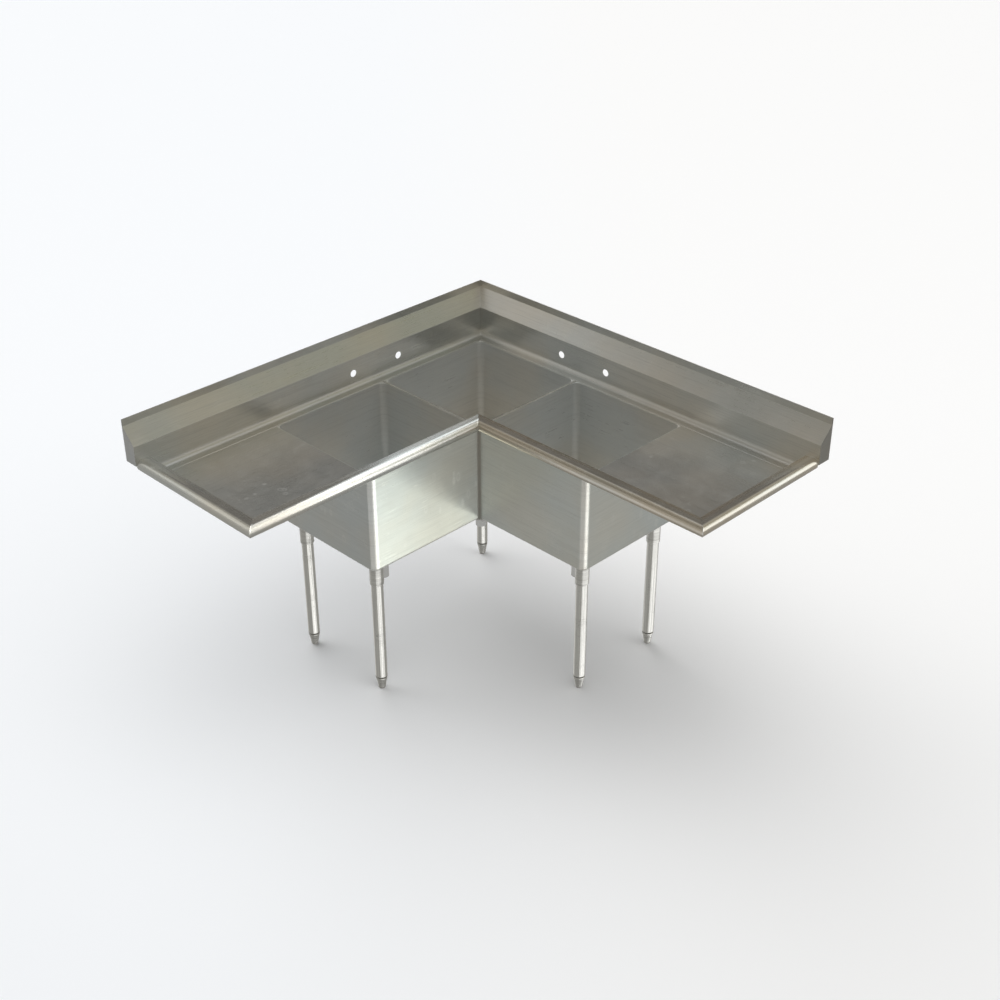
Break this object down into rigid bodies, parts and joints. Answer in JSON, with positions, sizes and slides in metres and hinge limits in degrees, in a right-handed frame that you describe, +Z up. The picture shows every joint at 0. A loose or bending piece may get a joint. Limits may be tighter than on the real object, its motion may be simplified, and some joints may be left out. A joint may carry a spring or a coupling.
{
  "type": "corner kitchen sink",
  "caption": "Free-standing steel corner sink: a bowl in the corner and one on each wing, end drainboards, rolled rims, tall backsplash and tubular legs with levelling feet.",
  "frame": {"origin": "middle of the bounding box in plan, on the floor under the feet", "axes": "+Z up; +Y outward to the rear wall behind the right wing; -X outward to the left wall behind the left wing; the room corner is at (-X, +Y)"},
  "size_m": [1.524, 1.524, 1.099],
  "materials": {
    "backsplash_sheet": "brushed along the wing",
    "drainboard_sheet": "brushed along the wing",
    "bowl_shell": "satin",
    "rolled_rim": "fine satin",
    "leg_tube": "polished satin",
    "leg_socket": "satin",
    "bullet_foot": "turned",
    "leg_insert": "machined",
    "set_screw": "plain",
    "stiffening_channel": "galvanised",
    "drain_steel": "polished satin",
    "drain_chrome": "polished",
    "locknut_brass": "as cast",
    "drain_rubber": "matt"
  },
  "bodies": {
    "sink_frame": {"corner_bowl": "bowl_shell", "corner_drain_body": "drain_steel", "corner_leg": "leg_tube", "corner_leg_channel": "stiffening_channel", "corner_leg_socket": "leg_socket", "corner_tailpiece": "drain_chrome", "drain_gaskets": "drain_rubber", "drain_locknuts": "locknut_brass", "drain_slip_nuts": "drain_chrome", "left_backsplash": "backsplash_sheet", "left_bowl": "bowl_shell", "left_drain_body": "drain_steel", "left_drainboard": "drainboard_sheet", "left_drainboard_channel": "stiffening_channel", "left_end_rim": "rolled_rim", "left_front_leg": "leg_tube", "left_front_leg_socket": "leg_socket", "left_front_rim": "rolled_rim", "left_leg_channel": "stiffening_channel", "left_partition_cap": "bowl_shell", "left_rear_leg": "leg_tube", "left_rear_leg_socket": "leg_socket", "left_splash_end_cap": "backsplash_sheet", "left_tailpiece": "drain_chrome", "leg_inserts": "leg_insert", "leg_set_screws": "set_screw", "right_backsplash": "backsplash_sheet", "right_bowl": "bowl_shell", "right_drain_body": "drain_steel", "right_drainboard": "drainboard_sheet", "right_drainboard_channel": "stiffening_channel", "right_end_rim": "rolled_rim", "right_front_leg": "leg_tube", "right_front_leg_socket": "leg_socket", "right_front_rim": "rolled_rim", "right_leg_channel": "stiffening_channel", "right_partition_cap": "bowl_shell", "right_rear_leg": "leg_tube", "right_rear_leg_socket": "leg_socket", "right_splash_end_cap": "backsplash_sheet", "right_tailpiece": "drain_chrome"},
    "corner_foot_body": {"corner_foot": "bullet_foot"},
    "right_rear_foot_body": {"right_rear_foot": "bullet_foot"},
    "right_front_foot_body": {"right_front_foot": "bullet_foot"},
    "left_rear_foot_body": {"left_rear_foot": "bullet_foot"},
    "left_front_foot_body": {"left_front_foot": "bullet_foot"},
    "corner_basket_body": {"corner_basket_cup": "drain_steel", "corner_basket_stopper": "drain_rubber", "corner_basket_knob": "drain_chrome"},
    "right_basket_body": {"right_basket_cup": "drain_steel", "right_basket_stopper": "drain_rubber", "right_basket_knob": "drain_chrome"},
    "left_basket_body": {"left_basket_cup": "drain_steel", "left_basket_stopper": "drain_rubber", "left_basket_knob": "drain_chrome"}
  },
  "joints": [
    {"name": "corner_foot_height", "type": "slide", "parent": "sink_frame", "child": "corner_foot_body", "axis": [0, 0, -1], "range_m": [-0.0027, 0.025]},
    {"name": "right_rear_foot_height", "type": "slide", "parent": "sink_frame", "child": "right_rear_foot_body", "axis": [0, 0, -1], "range_m": [-0.0027, 0.025]},
    {"name": "right_front_foot_height", "type": "slide", "parent": "sink_frame", "child": "right_front_foot_body", "axis": [0, 0, -1], "range_m": [-0.0027, 0.025]},
    {"name": "left_rear_foot_height", "type": "slide", "parent": "sink_frame", "child": "left_rear_foot_body", "axis": [0, 0, -1], "range_m": [-0.0027, 0.025]},
    {"name": "left_front_foot_height", "type": "slide", "parent": "sink_frame", "child": "left_front_foot_body", "axis": [0, 0, -1], "range_m": [-0.0027, 0.025]},
    {"name": "corner_basket_lift", "type": "slide", "parent": "sink_frame", "child": "corner_basket_body", "axis": [0, 0, 1], "range_m": [0, 0.12]},
    {"name": "right_basket_lift", "type": "slide", "parent": "sink_frame", "child": "right_basket_body", "axis": [0, 0, 1], "range_m": [0, 0.12]},
    {"name": "left_basket_lift", "type": "slide", "parent": "sink_frame", "child": "left_basket_body", "axis": [0, 0, 1], "range_m": [0, 0.12]}
  ]
}
